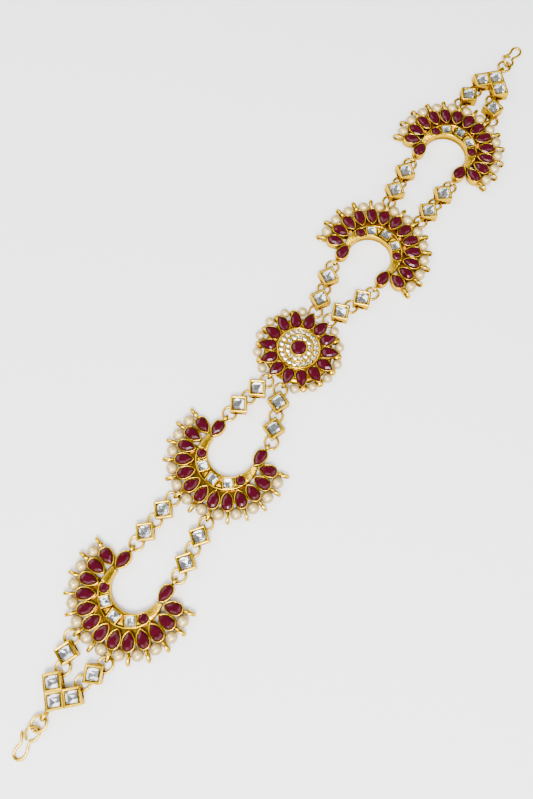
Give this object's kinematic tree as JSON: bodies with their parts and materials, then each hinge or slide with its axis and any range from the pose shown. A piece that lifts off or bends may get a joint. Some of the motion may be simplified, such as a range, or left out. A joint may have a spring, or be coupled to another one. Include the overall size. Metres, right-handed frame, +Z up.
{
  "type": "matha patti",
  "caption": "Jewelled head chain: a flower medallion between pairs of scalloped crescents edged with pearls, linked by double chains of square collets, with a wire hook at each end.",
  "frame": {"origin": "middle of the medallion's flat back, on the surface that the jewel lies on", "axes": "+X along the jewel towards one hook, +Y across it towards the row of chains on the hooks' free-tip side, +Z up, out of the stones' faces"},
  "size_m": [0.3183, 0.0447, 0.0056],
  "materials": {
    "gold_casting": "polished yellow gold plate",
    "gold_wire": "polished yellow gold plate on drawn wire",
    "pearl": "cream pearl lustre",
    "ruby": "deep red foiled glass",
    "clear_stone": "clear glass with a silvered back"
  },
  "bodies": {
    "root": {"chain_inner_left_lower_ring_1": "gold_wire", "chain_inner_left_lower_ring_3": "gold_wire", "chain_inner_left_lower_ring_5": "gold_wire", "chain_inner_left_lower_square_2": "gold_casting", "chain_inner_left_lower_square_4": "gold_casting", "chain_inner_left_upper_ring_1": "gold_wire", "chain_inner_left_upper_ring_3": "gold_wire", "chain_inner_left_upper_ring_5": "gold_wire", "chain_inner_left_upper_square_2": "gold_casting", "chain_inner_left_upper_square_4": "gold_casting", "chain_inner_right_lower_ring_1": "gold_wire", "chain_inner_right_lower_ring_3": "gold_wire", "chain_inner_right_lower_ring_5": "gold_wire", "chain_inner_right_lower_square_2": "gold_casting", "chain_inner_right_lower_square_4": "gold_casting", "chain_inner_right_upper_ring_1": "gold_wire", "chain_inner_right_upper_ring_3": "gold_wire", "chain_inner_right_upper_ring_5": "gold_wire", "chain_inner_right_upper_square_2": "gold_casting", "chain_inner_right_upper_square_4": "gold_casting", "chain_outer_left_lower_ring_1": "gold_wire", "chain_outer_left_lower_ring_3": "gold_wire", "chain_outer_left_lower_ring_5": "gold_wire", "chain_outer_left_lower_square_2": "gold_casting", "chain_outer_left_lower_square_4": "gold_casting", "chain_outer_left_upper_ring_1": "gold_wire", "chain_outer_left_upper_ring_3": "gold_wire", "chain_outer_left_upper_ring_5": "gold_wire", "chain_outer_left_upper_square_2": "gold_casting", "chain_outer_left_upper_square_4": "gold_casting", "chain_outer_right_lower_ring_1": "gold_wire", "chain_outer_right_lower_ring_3": "gold_wire", "chain_outer_right_lower_ring_5": "gold_wire", "chain_outer_right_lower_square_2": "gold_casting", "chain_outer_right_lower_square_4": "gold_casting", "chain_outer_right_upper_ring_1": "gold_wire", "chain_outer_right_upper_ring_3": "gold_wire", "chain_outer_right_upper_ring_5": "gold_wire", "chain_outer_right_upper_square_2": "gold_casting", "chain_outer_right_upper_square_4": "gold_casting", "corner_left": "gold_casting", "corner_right": "gold_casting", "crescent_inner_left": "gold_casting", "crescent_inner_right": "gold_casting", "crescent_outer_left": "gold_casting", "crescent_outer_right": "gold_casting", "end_ring_left": "gold_wire", "end_ring_right": "gold_wire", "hook_left": "gold_wire", "hook_right": "gold_wire", "medallion": "gold_casting", "medallion_pearls": "pearl", "pearls_inner_left": "pearl", "pearls_inner_right": "pearl", "pearls_outer_left": "pearl", "pearls_outer_right": "pearl", "short_chain_left_lower": "gold_casting", "short_chain_left_upper": "gold_casting", "short_chain_right_lower": "gold_casting", "short_chain_right_upper": "gold_casting"}
  },
  "joints": []
}
